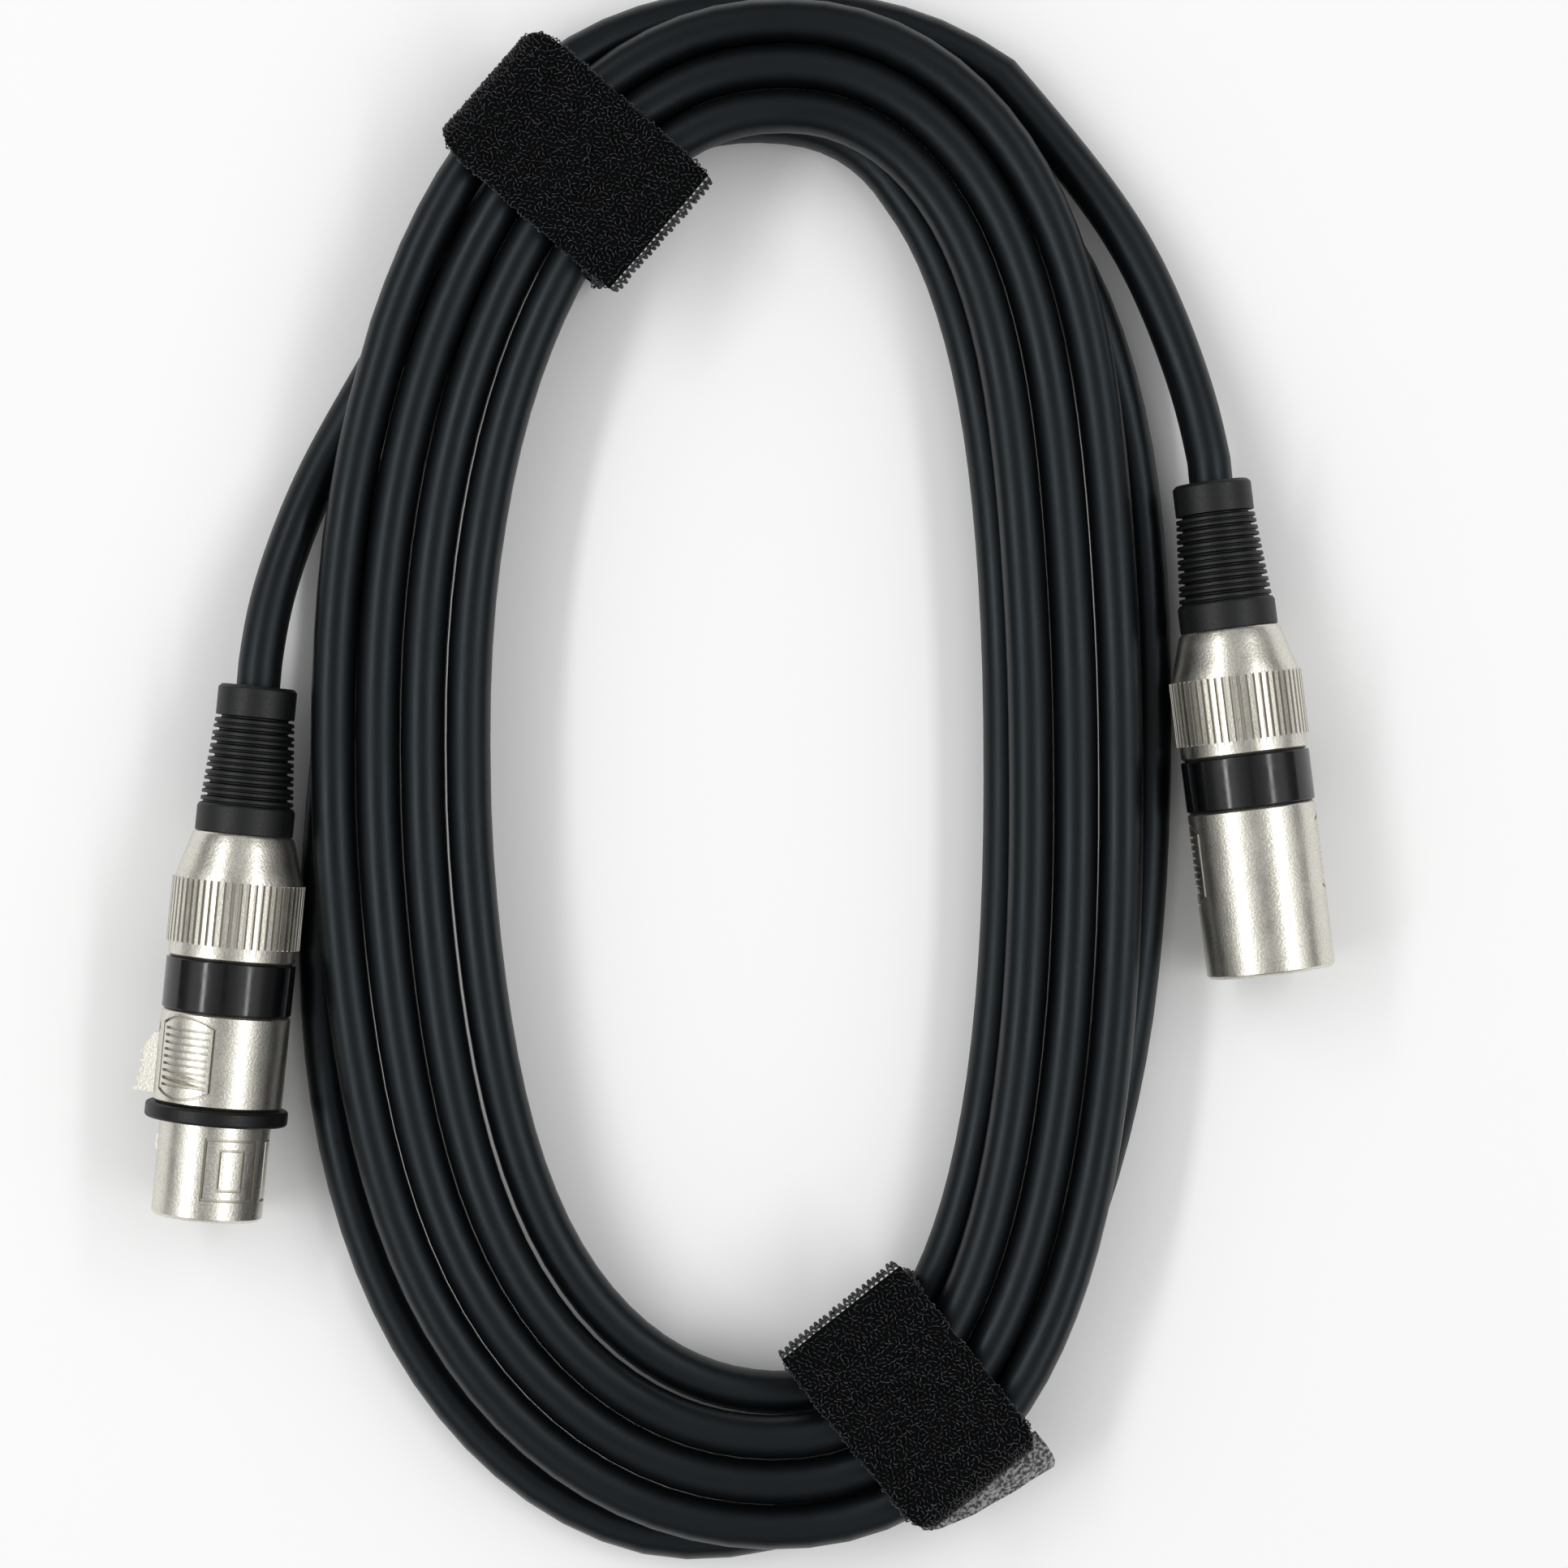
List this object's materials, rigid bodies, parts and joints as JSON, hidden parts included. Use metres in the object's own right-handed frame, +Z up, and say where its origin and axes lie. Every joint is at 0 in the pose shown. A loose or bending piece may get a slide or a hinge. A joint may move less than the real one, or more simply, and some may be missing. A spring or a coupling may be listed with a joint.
{
  "type": "coiled microphone cable",
  "caption": "Microphone cable coiled in an oval and held by two hook-and-loop straps, with a latching female and a male three-pole connector.",
  "frame": {"origin": "middle of the bounding box, on the ground", "axes": "+Z up, +Y along the coil's long way towards the upper strap, +X towards the male connector"},
  "size_m": [0.1783, 0.2331, 0.021],
  "materials": {
    "cable_jacket": "satin flexible PVC jacket",
    "strap_tape": "hook and loop tape",
    "nickel_shell": "satin pearl nickel on zinc die-cast",
    "black_band": "glossy coding ring",
    "boot_rubber": "matte",
    "seal_rubber": "matte",
    "insulator_plastic": "moulded",
    "contact_metal": "tin plated",
    "chuck_plastic": "moulded",
    "spring_steel": "bright wire",
    "core_insulation": "insulated wire"
  },
  "bodies": {
    "cable": {"coil": "cable_jacket", "female_lead": "cable_jacket", "male_lead": "cable_jacket", "upper_strap": "strap_tape", "lower_strap": "strap_tape", "female_shell": "nickel_shell", "female_insulator": "insulator_plastic", "female_sockets": "contact_metal", "latch_pin": "spring_steel", "latch_spring": "spring_steel", "seal_ring": "seal_rubber", "female_band": "black_band", "female_chuck": "chuck_plastic", "female_bushing": "nickel_shell", "female_boot": "boot_rubber", "female_cable_end": "cable_jacket", "female_cores": "core_insulation", "male_shell": "nickel_shell", "male_insulator": "insulator_plastic", "male_pins": "contact_metal", "male_band": "black_band", "male_chuck": "chuck_plastic", "male_bushing": "nickel_shell", "male_boot": "boot_rubber", "male_cable_end": "cable_jacket", "male_cores": "core_insulation"},
    "latch": {"latch_lever": "nickel_shell"}
  },
  "joints": [
    {"name": "latch_press", "type": "hinge", "parent": "cable", "child": "latch", "pos_m": [-0.08186, -0.03767, 0.00753], "axis": [-0.3889, 0.0381, 0.9205], "range_deg": [0, 4.5], "stiffness_Nm_per_rad": 0.12, "springref_deg": -5.73, "deforming": ["latch_spring"]}
  ]
}
